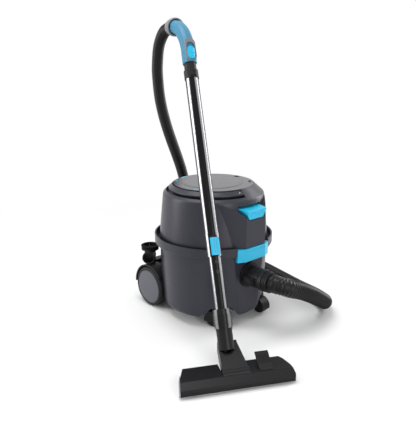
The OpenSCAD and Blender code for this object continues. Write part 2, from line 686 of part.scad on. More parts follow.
module wand_clip() on_wand(wand_top - 22) difference() {
  union() {
    cylinder(r = wand_r + 1.6, h = 24);
    translate([-7, -wand_r - 4, 4]) cube([14, 5, 16]);
  }
  translate([0, 0, -1]) cylinder(r = wand_r, h = 23);
  cylinder(r = wand_r - 4, h = 30);
  translate([-4, -wand_r - 5, 8]) cube([8, 2, 8]);
}

module grip_section(o) polygon([[18.5, 7], [13.5, 14.5], [6, 18.5], [-6, 18.5], [-13.5, 14.5], [-18.5, 7],
  [-18.5, -7], [-13.5, -14.5], [-6, -18.5], [6, -18.5], [13.5, -14.5], [18.5, -7]] * ((grip_r + o) / 18.5));

module grip_bend_of() translate([0, grip_bend_r, 0]) rotate([90, 0, -90])
  rotate_extrude(angle = grip_bend, $fn = 128) translate([grip_bend_r, 0]) children();

module spigot_tube() on_grip() difference() {
  union() {
    translate([0, 0, -50]) cylinder(r = wand_r - 1.9, h = 58);
    translate([0, 0, 7]) cylinder(r = grip_r - 2, h = 23);
  }
  translate([0, 0, -51]) cylinder(r = 13.5, h = 100);
}

module slider_slot(o) translate([0, 0, 35]) hull() for (z = [11.5, slot_len - 11.5])
  translate([0, 0, z]) rotate([90, 0, 0]) cylinder(r = 11.5 + o, h = 60, $fn = 32);

module slider_frame_form() difference() {
  rotate([-2, 0, 0]) translate([0, -grip_r + 2.3, 31]) hull() for (z = [15, 67 - 15])
    translate([0, 0, z]) rotate([90, 0, 0]) cylinder(r = 15, h = 5, $fn = 32);
  slider_slot(0.3);
}

module slider_frame() color(grey_c) on_grip() slider_frame_form();

module handle_grip() color(teal_c) on_grip() difference() {
  union() {
    translate([0, 0, 30]) linear_extrude(grip_straight - 30) grip_section(0);
    translate([0, 0, grip_straight]) grip_bend_of() grip_section(0);
  }
  translate([0, 0, 29]) cylinder(r = 13.5, h = grip_straight - 28.9);
  translate([0, 0, grip_straight]) grip_bend_of() circle(r = 13.5);
  translate([-11.5, -40, 35]) cube([23, 40 - 14.6, slot_len + 0.3]);
  translate([-5, -20, 38]) cube([10, 15, 8]);
  slider_frame_form();
}

module air_slider() color(cyan_c) on_grip() intersection() {
  translate([0, -14.8, 36]) hull() for (z = [11.2, slider_len - 11.2]) translate([0, 0, z]) rotate([90, 0, 0])
    cylinder(r = 11.2, h = 6.8, $fn = 32);
  translate([0, 0, 30]) cylinder(r = 21.5, h = 60);
}

module grip_ferrule() color(dark_c) on_grip_end() difference() {
  translate([0, 0, -5]) cylinder(r = swivel_r - 4, h = 19);
  translate([0, 0, -6]) linear_extrude(6) grip_section(0.3);
  cylinder(r = 13.5, h = 20);
}

module swivel_collar() color(grey_c) on_grip_end() rotate_extrude($fn = 96) polygon([
  [swivel_r - 4 + run, -6], [swivel_r - 1, -6], [swivel_r, -4.5], [swivel_r, 8], [swivel_r - 1.5, 12],
  [swivel_r - 3, 26], [hose_r_handle + 2, 34], [13.5, 34], [13.5, 14.3], [swivel_r - 4 + run, 14.3]]);

// ---------------------------------------------------------------- floor nozzle

module nozzle_neck() color(dark_c) difference() {
  union() {
    on_nozzle() {
      translate([-34, barrel_y, barrel_z]) rotate([0, 90, 0]) cylinder(r = barrel_r, h = 68);
      intersection() {
        translate([-60, 0, 0]) rotate([90, 0, 90]) linear_extrude(120) polygon([[barrel_y - 4, barrel_z + 12],
          [barrel_y, barrel_z + barrel_r], [22, 63], [28, 67], [31, 62], [31, 40], [barrel_y + 6, barrel_z - 12]]);
        linear_extrude(100) polygon([[-34, -70], [34, -70], [24, 31], [-24, 31]]);
      }
    }
    on_wand(20) cylinder(r = inner_tube_r + 4.1, h = coupling_s - 20);
    on_wand(coupling_s - 6) cylinder(r = inner_tube_r + 5, h = 6);
    on_wand(coupling_s - 1) cylinder(r = inner_tube_r + 0.95, h = 20);
  }
  on_wand(6) cylinder(r = 12.5, h = 100);
  on_nozzle() translate([-5, 10, 44]) rotate([114, 0, 0]) cylinder(r = 10, h = 62);
  on_nozzle() both_sides() translate([26.5, barrel_y, barrel_z]) rotate([0, 90, 0])
    cylinder(r = 3 + run, h = 10, $fn = 32);
  on_nozzle() translate([-24, barrel_y - 20, barrel_z - 20]) cube([48, 26, 14]);
}

module nozzle_plan(o) polygon([[-nozzle_w / 2 + o, -nozzle_d - 6 + o], [nozzle_w / 2 - 3 - o, -nozzle_d - 6 + o],
  [nozzle_w / 2 - o, -nozzle_d + o], [nozzle_w / 2 - 4 - o, -52], [nozzle_w / 2 - 12 - o, -26],
  [nozzle_w / 2 - 20 - o, -13 - o], [nozzle_w / 2 - 32 - o, -7 - o], [-nozzle_w / 2 + 28 + o, -7 - o],
  [-nozzle_w / 2 + 20 + o, -12 - o], [-nozzle_w / 2 + 6 + o, -52]]);

module nozzle_form(o) intersection() {
  translate([-nozzle_w, 0, 0]) rotate([90, 0, 90]) linear_extrude(2 * nozzle_w) polygon([
    [-nozzle_d - 6 + o, 6 - o], [-nozzle_d - 6 + o, 17 - o], [-nozzle_d - 3 + o, 20 - o], [-nozzle_d + 16, 30 - o],
    [-14, 31 - o], [-7 - o, 26 - o], [-7 - o, 6 - o]]);
  linear_extrude(60) nozzle_plan(o);
}

// Open channel of the nozzle that the neck lies in.
module neck_channel(o) {
  translate([-34.4 - o, barrel_y, barrel_z]) rotate([0, 90, 0]) cylinder(r = barrel_r + 0.4 + o, h = 68.8 + 2 * o);
  translate([-34.4 - o, barrel_y - barrel_r - 0.4 - o, barrel_z]) cube([68.8 + 2 * o, 100, 40]);
  translate([-34.4 - o, barrel_y, barrel_z - barrel_r - 0.4 - o]) cube([68.8 + 2 * o, 100, 60]);
}

// The rear strip is in two lengths, one each side of the neck.
module strip_rows(grow, z, h) {
  translate([-nozzle_w / 2 + 14 - grow, -82 - 3 - grow, z]) cube([nozzle_w - 36 + 2 * grow, 6 + 2 * grow, h]);
  both_sides() translate([40 - grow, -26 - 3 - grow, z]) cube([50 + 2 * grow, 6 + 2 * grow, h]);
}

module strip_posts(r) {
  for (x = [-100, 0, 100]) translate([x, -82, 7]) cylinder(r = r, h = 30, $fn = 24);
  both_sides() for (x = [48, 82]) translate([x, -26, 7]) cylinder(r = r, h = 30, $fn = 24);
}

module nozzle_body() color(dark_c) on_nozzle() difference() {
  union() {
    difference() {
      nozzle_form(0);
      difference() { nozzle_form(2.5); neck_channel(2.5); }
    }
    intersection() {
      nozzle_form(0);
      union() {
        both_sides() translate([94.5, -33, 6]) cube([27, 24, 16]);
        translate([pedal_x - 4, pedal_y - 4, pedal_z - 4]) cube([pedal_w + 8, 8, 10]);
        strip_posts(1.5);
      }
    }
  }
  neck_channel(0);
  both_sides() translate([27, barrel_y, barrel_z]) rotate([0, 90, 0]) cylinder(r = 3, h = 11, $fn = 32);
  both_sides() translate([98, -31, 0]) cube([20, 20, 17]);
  both_sides() translate([94.8, -21, 8]) rotate([0, 90, 0]) cylinder(r = 2, h = 26.4, $fn = 24);
  translate([pedal_x - 0.4, pedal_y - 5, 20]) cube([pedal_w + 0.8, 10, 14]);
  translate([pedal_x - 3, pedal_y, pedal_z]) rotate([0, 90, 0]) cylinder(r = 1.5, h = pedal_w + 6, $fn = 24);
  translate([-26, -62, 0]) cube([52, 20, 12]);
}

module end_caps() color(grey_c) on_nozzle() difference() {
    intersection() {
      translate([-nozzle_w / 2 - 3, -nozzle_d - 6, 6.3]) cube([12, nozzle_d - 20, 22]);
      translate([-nozzle_w, 0, 0]) rotate([90, 0, 90]) linear_extrude(2 * nozzle_w) polygon([[-nozzle_d - 6, 5],
        [-nozzle_d - 6, 14], [-nozzle_d + 8, 22], [-28, 24], [-24, 5]]);
      linear_extrude(60) polygon([[-nozzle_w / 2 - 3, -nozzle_d - 6], [-nozzle_w / 2 + 4, -nozzle_d - 6],
        [-nozzle_w / 2 + 20, -20], [-nozzle_w / 2 + 12, -20], [-nozzle_w / 2 + 3, -52]]);
    }
  nozzle_form(0);
}

module sole_plate() color(steel_c) on_nozzle() difference() {
  translate([0, 0, 3]) linear_extrude(3) nozzle_plan(2);
  translate([-nozzle_w / 2 + 15, -82 - 1.5, 0]) cube([nozzle_w - 38, 3, 10]);
  both_sides() translate([41, -26 - 1.5, 0]) cube([48, 3, 10]);
  translate([-nozzle_w / 2 + 20, -66, 0]) cube([nozzle_w - 46, 26, 10]);
  both_sides() translate([97.5, -31.5, 0]) cube([21, 21, 17]);
  strip_posts(1.6);
}

module brush_strips() color(dark_c) on_nozzle() difference() {
  union() {
    strip_rows(-0.3, 6 + brush_drop, 4);
    translate([-nozzle_w / 2 + 16, -82 - 1.2, brush_drop]) cube([nozzle_w - 40, 2.4, 11 - brush_drop]);
    both_sides() translate([42, -26 - 1.2, brush_drop]) cube([46, 2.4, 11 - brush_drop]);
  }
  strip_posts(1.5 + run);
}

module nozzle_pins() color(steel_c) on_nozzle() {
  both_sides() translate([27, barrel_y, barrel_z]) rotate([0, 90, 0]) cylinder(r = 3, h = 11, $fn = 32);
  both_sides() translate([94.8, -21, 8]) rotate([0, 90, 0]) cylinder(r = 2, h = 26.4, $fn = 24);
  translate([pedal_x - 3, pedal_y, pedal_z]) rotate([0, 90, 0]) cylinder(r = 1.5, h = pedal_w + 6, $fn = 24);
}

module nozzle_pedal() color(dark_c) on_nozzle() translate([pedal_x, 0, 0]) difference() {
  union() {
    rotate([90, 0, 90]) linear_extrude(pedal_w) polygon([[-66, 31.3], [-58, 32.6], [-46, 37], [-36, 44],
      [-28, 50.5], [-19, 55], [-18, 52.5], [-26, 47.5], [-34, 40.5], [-43, 34], [-49, 31.8],
      [pedal_y + 2.5, pedal_z], [pedal_y - 2.5, pedal_z], [-56, 30.9], [-66, 30.6]]);
    translate([0, pedal_y, pedal_z]) rotate([0, 90, 0]) cylinder(r = 3.2, h = pedal_w, $fn = 32);
  }
  translate([-5, pedal_y, pedal_z]) rotate([0, 90, 0]) cylinder(r = 1.5 + run, h = pedal_w + 10, $fn = 24);
}

module roller(s) color(dark_c) on_nozzle() side(s) translate([101, -21, 8]) rotate([0, 90, 0]) difference() {
  cylinder(r = 8, h = 14);
  translate([0, 0, -1]) cylinder(r = 2 + run, h = 20, $fn = 24);
}

// ---------------------------------------------------------------- dusting brush

module accessory_holder() color(dark_c) difference() {
  union() {
    translate([brush_x - 12, brush_y - 12, tub_floor_z + 94])
      cube([-60 - brush_x + 12, 24, brush_z - brush_foot - tub_floor_z - 94.3]);
    translate([brush_x, brush_y, tub_floor_z + 94]) cylinder(r = 8, h = brush_z - brush_foot - tub_floor_z - 83);
  }
  translate([-well_x - 60, rear_y, wheel_r]) rotate([0, 90, 0]) cylinder(r = wheel_r + 8.5, h = 60.5 + wall, $fn = 96);
}

module brush_at() translate([brush_x, brush_y, brush_z]) children();

module dusting_brush() color(dark_c) brush_at() difference() {
  union() {
    translate([0, 0, -brush_foot]) cylinder(r = 17, h = brush_foot + 17);
    translate([0, 0, 10]) cylinder(r1 = 17, r2 = 27, h = 7, $fn = 64);
    translate([0, 0, 17]) cylinder(r = 27, h = 5);
    rotate([0, 0, 225]) rotate([0, 90, 0]) {
      cylinder(r = brush_bore_r + 2.5, h = 38);
      translate([0, 0, 34]) cylinder(r = brush_bore_r + 3.5, h = 4);
    }
  }
  translate([0, 0, -brush_foot - 1]) cylinder(r = 8 + run, h = 13);
  rotate([0, 0, 225]) rotate([0, 90, 0]) translate([0, 0, 13]) cylinder(r = brush_bore_r, h = 30);
  translate([0, 0, 19]) tube(25, 15, 10);
}

module brush_bristles() color(dark_c) brush_at() translate([0, 0, 19]) difference() {
  union() {
    cylinder(r = 25 - run, h = 4);
    translate([0, 0, 3]) cylinder(r1 = 25 - run, r2 = 28, h = tuft_h - 3, $fn = 64);
  }
  translate([0, 0, -1]) cylinder(r = 15 + run, h = 60);
  for (a = [0:18:342]) rotate([0, 0, a]) translate([28.5, 0, 4]) cylinder(r = 2, h = 60, $fn = 24);
}

// ---------------------------------------------------------------- hose

// Hand-laid route from the machine end to the handle.
hose_points = [[0, front_y - cuff_reach - 18, inlet_z], [3, -260, 151], [24, -279, 143], [68, -284, 124],
  [121, -283, 95], [175, -274, 62], [214, -262, 38], [240, -238, 27], [255, -195, 26], [268, -126, 25],
  [289, -31, 25], [311, 70, 25], [314, 145, 28], [299, 209, 44], [264, 262, 84], [215, 295, 155], [165, 307, 260],
  [120, 293, 378], [48, 272, 520], [14, 262, 610], [0, 256, 690], [-2, 252, 735], [0, 247, 775],
  [2, 236, 802], [0, 214, 822]];
hose_steps = 3;

function mix4(a, b, c, d, t) = (2 * b + (c - a) * t + (2 * a - 5 * b + 4 * c - d) * t * t
  + (3 * b - a - 3 * c + d) * t * t * t) / 2;

function unit(v) = v / norm(v);

function sweep_line(p, n) = let (m = len(p)) [for (i = [0:m - 2], k = [0:n - 1])
  mix4(i > 0 ? p[i - 1] : 2 * p[0] - p[1], p[i], p[i + 1], i + 2 < m ? p[i + 2] : 2 * p[m - 1] - p[m - 2], k / n),
  p[m - 1]];

module hose_tube(line, first_dir, last_dir, r0, r1, sides) {
  n = len(line);
  dirs = [for (i = [0:n - 1]) i == 0 ? first_dir : i == n - 1 ? last_dir : unit(line[i + 1] - line[i - 1])];
  ups = [for (i = 0, u = [0, 0, 1]; i < n; i = i + 1,
    u = i < n ? unit(u - (u * dirs[i]) * dirs[i]) : u) u];
  points = [for (i = [0:n - 1]) let (u = unit(ups[i] - (ups[i] * dirs[i]) * dirs[i]), v = cross(dirs[i], u),
    r = r0 + (r1 - r0) * min(1, 2 * i / (n - 1))) for (k = [0:sides - 1])
      line[i] + r * (cos(360 * k / sides) * u + sin(360 * k / sides) * v)];
  sidesf = [for (i = [0:n - 2], k = [0:sides - 1]) let (a = i * sides + k, b = i * sides + (k + 1) % sides)
    [a, a + sides, b + sides, b]];
  polyhedron(points, concat([[for (k = [0:sides - 1]) k]], sidesf,
    [[for (k = [0:sides - 1]) n * sides - 1 - k]]), convexity = 8);
}

// Where the swivel collar ends and which way it faces.
function turn_x(v, a) = [v[0], v[1] * cos(a) - v[2] * sin(a), v[1] * sin(a) + v[2] * cos(a)];
function turn_z(v, a) = [v[0] * cos(a) - v[1] * sin(a), v[0] * sin(a) + v[1] * cos(a), v[2]];
function wand_dir(v) = turn_z(turn_x(v, -wand_lean), -wand_turn);
function grip_dir(v) = wand_dir(turn_z(v, grip_twist));
swivel_dir = grip_dir([0, sin(grip_bend), cos(grip_bend)]);
swivel_end = nozzle_pivot + wand_dir([0, 0, grip_s]) + grip_dir([0,
  grip_bend_r * (1 - cos(grip_bend)), grip_straight + grip_bend_r * sin(grip_bend)]) + 34 * swivel_dir;

module hose() color(dark_c) hose_tube(sweep_line(concat(hose_points, [swivel_end]), hose_steps),
  [0, -1, 0], -swivel_dir, hose_r_inlet, hose_r_handle, 10);

// ---------------------------------------------------------------- nodes of several pieces

module hose_cuff() color(dark_c) { cuff_body(); cuff_collar(); }

module dust_bag() color([0.9, 0.88, 0.82]) { bag_collar(); bag_sack(); }

module tub_pins() color(steel_c) { hinge_pin(); latch_pin(); }

module head_seals() color(dark_c) { head_seal(); motor_gasket(); }

module head_pins() color(steel_c) { pedal_pin(); bail_pins(); }

module handle_spigot() color(dark_c) { wand_clip(); spigot_tube(); }

module wheel_right() { rear_wheel(-1); }
module hub_cap_right() { hub_cap(-1); }
module wheel_left() { rear_wheel(1); }
module hub_cap_left() { hub_cap(1); }
module castor_fork_right() { castor_fork(-1); }
module castor_wheel_right() { castor_wheel(-1); }
module castor_fork_left() { castor_fork(1); }
module castor_wheel_left() { castor_wheel(1); }
module roller_right() { roller(-1); }
module roller_left() { roller(1); }

container();
bumper_ring();
chassis();
stub_axles();
wheel_right();
hub_cap_right();
wheel_left();
hub_cap_left();
castor_fork_right();
castor_wheel_right();
castor_fork_left();
castor_wheel_left();
inlet_socket();
hose_cuff();
cuff_button();
dust_bag();
hinge_bracket();
front_latch();
tub_pins();
head_housing();
head_seals();
head_base();
motor_filter();
motor_housing();
stator();
fan_case();
fan_rotor();
exhaust_tray();
exhaust_filter();
top_plate();
cover_catches();
filter_cover();
switch_module();
power_pedal();
carry_handle();
head_pins();
wand_coupling();
wand_inner_tube();
wand_sleeve();
wand_button();
wand_outer_tube();
handle_spigot();
handle_grip();
slider_frame();
air_slider();
grip_ferrule();
swivel_collar();
nozzle_neck();
nozzle_body();
end_caps();
sole_plate();
brush_strips();
nozzle_pedal();
nozzle_pins();
roller_right();
roller_left();
accessory_holder();
dusting_brush();
brush_bristles();
hose();
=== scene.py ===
import math

import bmesh
import bpy
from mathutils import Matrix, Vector


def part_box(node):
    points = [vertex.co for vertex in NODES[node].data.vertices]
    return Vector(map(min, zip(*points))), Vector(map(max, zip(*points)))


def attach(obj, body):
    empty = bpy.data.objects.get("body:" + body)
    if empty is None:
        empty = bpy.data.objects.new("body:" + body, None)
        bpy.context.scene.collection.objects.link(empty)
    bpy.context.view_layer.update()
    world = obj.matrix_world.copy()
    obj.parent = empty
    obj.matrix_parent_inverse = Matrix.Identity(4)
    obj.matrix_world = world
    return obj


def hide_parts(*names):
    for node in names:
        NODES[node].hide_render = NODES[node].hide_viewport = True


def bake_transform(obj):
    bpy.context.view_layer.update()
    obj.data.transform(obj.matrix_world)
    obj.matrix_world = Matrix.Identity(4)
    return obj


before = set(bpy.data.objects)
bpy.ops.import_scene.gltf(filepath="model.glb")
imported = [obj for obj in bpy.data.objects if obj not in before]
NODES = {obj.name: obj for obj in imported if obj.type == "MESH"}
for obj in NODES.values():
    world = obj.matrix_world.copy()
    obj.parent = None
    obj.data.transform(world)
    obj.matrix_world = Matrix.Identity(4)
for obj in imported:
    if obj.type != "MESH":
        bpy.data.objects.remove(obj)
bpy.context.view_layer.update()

# ------------------------------------------------------------------ camera

CAMERA_PLACE = (-1.0536, -1.1261, 0.747)
CAMERA_HEADING = (0.6756, 0.7373)
CAMERA_PITCH = math.radians(15.85)
CAMERA_LENS = 46.73


def add_camera(name):
    data = bpy.data.cameras.new(name)
    data.lens = CAMERA_LENS
    data.sensor_fit = "HORIZONTAL"
    data.sensor_width = 36
    data.clip_start = 0.05
    camera = bpy.data.objects.new(name, data)
    bpy.context.collection.objects.link(camera)
    camera.location = CAMERA_PLACE
    look = Vector((*CAMERA_HEADING, -math.tan(CAMERA_PITCH)))
    camera.rotation_euler = look.to_track_quat("-Z", "Y").to_euler()
    return camera


bpy.context.scene.camera = add_camera("Front right view")
bpy.context.scene.view_settings.view_transform = "Standard"

# ------------------------------------------------------------------ hose

# Route of the hose from the cuff round the left side to the handle, in metres.
HOSE_ROUTE = [
    (0.000, -0.236, 0.152), (0.003, -0.260, 0.151), (0.024, -0.279, 0.143),
    (0.068, -0.284, 0.124), (0.121, -0.283, 0.095), (0.175, -0.274, 0.062),
    (0.214, -0.262, 0.038), (0.240, -0.238, 0.027), (0.255, -0.195, 0.026),
    (0.268, -0.126, 0.025), (0.289, -0.031, 0.025), (0.311, 0.070, 0.025),
    (0.314, 0.145, 0.028), (0.299, 0.209, 0.044), (0.264, 0.262, 0.084),
    (0.215, 0.295, 0.155), (0.165, 0.307, 0.260), (0.120, 0.293, 0.378),
    (0.048, 0.272, 0.520), (0.014, 0.262, 0.610), (0.000, 0.256, 0.690),
    (-0.002, 0.252, 0.735), (0.000, 0.247, 0.775), (0.002, 0.236, 0.802),
    (0.000, 0.214, 0.822), (-0.0065, 0.1765, 0.8314),
]
ROUTE_STEPS = 40
# The hose narrows from its cuff to this share of its length, and stays at the end radius from there.
HOSE_R_START, HOSE_R_END = 0.026, 0.018
TAPER_SHARE = 0.5
HOSE_SIDES = 28
RIB_PITCH_START, RIB_PITCH_END = 0.0075, 0.0052
RIB_DEPTH_START, RIB_DEPTH_END = 0.0022, 0.0012
# Depth of each ring of one rib, as a share of the rib's depth.
RIB_SHAPE = (0.0, 0.75, 1.0, 0.75)


def catmull(a, b, c, d, t):
    return 0.5 * (
        2 * b + (c - a) * t + (2 * a - 5 * b + 4 * c - d) * t * t
        + (3 * b - a - 3 * c + d) * t ** 3
    )


def smooth_line(points, steps):
    """A smooth line through the points, with that many steps between one and the next."""
    pts = [Vector(p) for p in points]
    pts = [2 * pts[0] - pts[1]] + pts + [2 * pts[-1] - pts[-2]]
    line = []
    for i in range(1, len(pts) - 2):
        for k in range(steps):
            line.append(catmull(*pts[i - 1:i + 3], k / steps))
    line.append(pts[-2])
    return line


def line_length(line):
    return sum((b - a).length for a, b in zip(line, line[1:]))


def between(start, end, share):
    return start + (end - start) * share


def stepped_line(line, step_at):
    """The same line with points step_at(share of the length) apart, and the share at each point."""
    total = line_length(line)
    out, shares = [line[0]], [0.0]
    run, due = 0.0, step_at(0.0)
    for a, b in zip(line, line[1:]):
        seg = (b - a).length
        while due <= run + seg:
            out.append(a.lerp(b, (due - run) / seg))
            shares.append(due / total)
            due += step_at(due / total)
        run += seg
    return out, shares


def swept_tube(name, line, radii, sides):
    """A closed tube round a line, with one radius for each of its points."""
    bm = bmesh.new()
    tangent = (line[1] - line[0]).normalized()
    side = tangent.cross(Vector((0, 0, 1))).normalized()
    rings = []
    for i, p in enumerate(line):
        a, b = line[max(i - 1, 0)], line[min(i + 1, len(line) - 1)]
        new = (b - a).normalized()
        side = (side - side.dot(new) * new).normalized()
        up = new.cross(side)
        rings.append([
            bm.verts.new(p + radii[i] * (
                math.cos(2 * math.pi * k / sides) * side
                + math.sin(2 * math.pi * k / sides) * up))
            for k in range(sides)
        ])
    for a, b in zip(rings, rings[1:]):
        for k in range(sides):
            j = (k + 1) % sides
            bm.faces.new((a[k], a[j], b[j], b[k]))
    bm.faces.new(rings[0][::-1])
    bm.faces.new(rings[-1])
    bmesh.ops.recalc_face_normals(bm, faces=bm.faces)
    mesh = bpy.data.meshes.new(name)
    bm.to_mesh(mesh)
    bm.free()
    obj = bpy.data.objects.new(name, mesh)
    bpy.context.collection.objects.link(obj)
    for face in mesh.polygons:
        face.use_smooth = len(face.vertices) == 4
    return obj


def ring_step(share):
    """Distance from one ring of a rib to the next, at that share of the hose's length."""
    return between(RIB_PITCH_START, RIB_PITCH_END, share) / len(RIB_SHAPE)


def ring_radius(i, share):
    core = between(HOSE_R_START, HOSE_R_END, min(1.0, share / TAPER_SHARE))
    depth = between(RIB_DEPTH_START, RIB_DEPTH_END, share)
    return core - depth * RIB_SHAPE[i % len(RIB_SHAPE)]


smooth_hose = smooth_line(HOSE_ROUTE, ROUTE_STEPS)
hose_line, hose_shares = stepped_line(smooth_hose, ring_step)
hose_radii = [ring_radius(i, share) for i, share in enumerate(hose_shares)]
hose = swept_tube("ribbed_hose", hose_line, hose_radii, HOSE_SIDES)
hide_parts("hose")
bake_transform(hose)

# ------------------------------------------------------------------ dusting brush tufts

TUFTS = 22
TUFT_RING_R = 0.0215
TUFT_LIFT = 0.0002
TUFT_LENGTH = 0.0125
TUFT_LEAN = math.radians(14)
TUFT_R = 0.0027
TUFT_SIDES = 12
TUFT_SPREAD = 1.45
# The hollow in a tuft's end: a flat rim, then a sloping wall down to the bottom.
TUFT_RIM = 0.0009
HOLLOW_WALL = 0.0006
HOLLOW_DEPTH = 0.0018
SMOOTH_UNDER = math.radians(35)


def select_faces(obj, pick):
    """Goes from edit mode to edit mode with just the faces selected that pick(face) takes."""
    bpy.ops.mesh.select_all(action="DESELECT")
    bpy.ops.object.mode_set(mode="OBJECT")
    for face in obj.data.polygons:
        face.select = pick(face)
    bpy.ops.object.mode_set(mode="EDIT")


def one_tuft(foot, turn):
    """A bundle of bristles, leaning outwards: a narrow foot that spreads, with a hollowed end."""
    bpy.ops.object.select_all(action="DESELECT")
    bpy.ops.mesh.primitive_cylinder_add(vertices=TUFT_SIDES, radius=TUFT_R, depth=TUFT_LENGTH,
                                        location=(0, 0, TUFT_LENGTH / 2))
    tuft = bpy.context.object
    bpy.ops.object.transform_apply(location=True, rotation=True, scale=True)
    bpy.ops.object.mode_set(mode="EDIT")
    bpy.ops.mesh.select_mode(type="FACE")
    select_faces(tuft, lambda face: face.normal.z > 0.9)
    bpy.ops.transform.resize(value=(TUFT_SPREAD, TUFT_SPREAD, 1.0))
    bpy.ops.mesh.inset(thickness=TUFT_RIM, depth=0.0)
    bpy.ops.mesh.inset(thickness=HOLLOW_WALL, depth=-HOLLOW_DEPTH)
    bpy.ops.object.mode_set(mode="OBJECT")
    tuft.location = foot
    tuft.rotation_euler = (0, TUFT_LEAN, turn)
    return tuft


def ring_of_tufts(name):
    """All the tufts on a circle round the CAD bristles' axis, joined."""
    low, high = (Vector(v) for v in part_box("brush_bristles"))
    middle = (low + high) / 2
    tufts = []
    for k in range(TUFTS):
        turn = 2 * math.pi * k / TUFTS
        out = Vector((math.cos(turn), math.sin(turn), 0))
        foot = Vector((middle.x, middle.y, low.z + TUFT_LIFT)) + out * TUFT_RING_R
        tufts.append(one_tuft(foot, turn))
    bpy.ops.object.select_all(action="DESELECT")
    for tuft in tufts:
        tuft.select_set(True)
    bpy.context.view_layer.objects.active = tufts[0]
    bpy.ops.object.join()
    ring = bpy.context.object
    ring.name = name
    bpy.ops.object.transform_apply(location=True, rotation=True, scale=True)
    bpy.ops.object.shade_smooth_by_angle(angle=SMOOTH_UNDER)
    return ring


brush_tufts = ring_of_tufts("brush_tufts")
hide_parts("brush_bristles")
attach(brush_tufts, "brush")

# ------------------------------------------------------------------ shader node helpers

# A Mix node's colour sockets share their names with its number sockets, so they go by their index.
MIX_FIRST, MIX_SECOND, MIX_RESULT = 6, 7, 2


def srgb(r, g, b):
    def linear(c):
        c /= 255
        return c / 12.92 if c <= 0.04045 else ((c + 0.055) / 1.055) ** 2.4
    return (linear(r), linear(g), linear(b), 1.0)


def link(tree, a, a_sock, b, b_sock):
    tree.links.new(a.outputs[a_sock], b.inputs[b_sock])


def new_group(name, inputs, outputs):
    """An empty node group with these sockets, its input node and its output node."""
    group = bpy.data.node_groups.new(name, "ShaderNodeTree")
    for label, kind, value in inputs:
        sock = group.interface.new_socket(label, in_out="INPUT", socket_type=kind)
        sock.default_value = value
    for label, kind in outputs:
        group.interface.new_socket(label, in_out="OUTPUT", socket_type=kind)
    return group, group.nodes.new("NodeGroupInput"), group.nodes.new("NodeGroupOutput")


def add_group(tree, group, values):
    """The node group in another tree, with the named inputs set."""
    node = tree.nodes.new("ShaderNodeGroup")
    node.node_tree = group
    for label, value in values.items():
        node.inputs[label].default_value = value
    return node


def add_math(tree, operation, *terms, clamp=False):
    """A Math node. Each term is a number, or a node with the name of its output."""
    node = tree.nodes.new("ShaderNodeMath")
    node.operation = operation
    node.use_clamp = clamp
    for socket, term in enumerate(terms):
        if isinstance(term, tuple):
            link(tree, *term, node, socket)
        else:
            node.inputs[socket].default_value = term
    return node


def add_noise(tree, coord, scale, detail):
    noise = tree.nodes.new("ShaderNodeTexNoise")
    noise.inputs["Scale"].default_value = scale
    noise.inputs["Detail"].default_value = detail
    link(tree, coord, "Object", noise, "Vector")
    return noise


def add_color_mix(tree, factor, first, second):
    """Mixes first towards the colour second. The others are a node with the name of its output."""
    mix = tree.nodes.new("ShaderNodeMix")
    mix.data_type = "RGBA"
    link(tree, *factor, mix, "Factor")
    link(tree, *first, mix, MIX_FIRST)
    mix.inputs[MIX_SECOND].default_value = second
    return mix


def add_seen_rays(tree):
    """1 for rays that come from the camera, straight or by way of gloss or glass, and 0 for the rest."""
    path = tree.nodes.new("ShaderNodeLightPath")
    indirect = add_math(tree, "MAXIMUM", (path, "Is Glossy Ray"), (path, "Is Transmission Ray"))
    return add_math(tree, "MAXIMUM", (path, "Is Camera Ray"), (indirect, "Value"))


def add_shader_mix(tree, share, first, second, output):
    """Mixes first towards second by the share, and links the result to the tree's output node."""
    mix = tree.nodes.new("ShaderNodeMixShader")
    link(tree, *share, mix, 0)
    link(tree, *first, mix, 1)
    link(tree, *second, mix, 2)
    link(tree, mix, "Shader", output, "Surface")


# ------------------------------------------------------------------ finishes

GRAIN_HEIGHT = 0.0004
TONE_SCALE = 9
DUST_SCALE = 160
DUST_COLOR = (0.42, 0.40, 0.38, 1)
ROUGHNESS_CHANGE = 0.12
SOFT_EDGE_R = 0.0008
# Pale grey painted into the edges of the dark tubes as a painted reflection of the side lamps.
PAINTED_REFLECTION_COLOR = (0.40, 0.40, 0.42, 1)
# How strong the painted reflection band is, from where a tube faces the eye (0) to its edge (1).
PAINTED_REFLECTION_STOPS = ((0.14, 0.0), (0.20, 1.0), (0.44, 1.0), (0.55, 0.05), (1.0, 0.0))


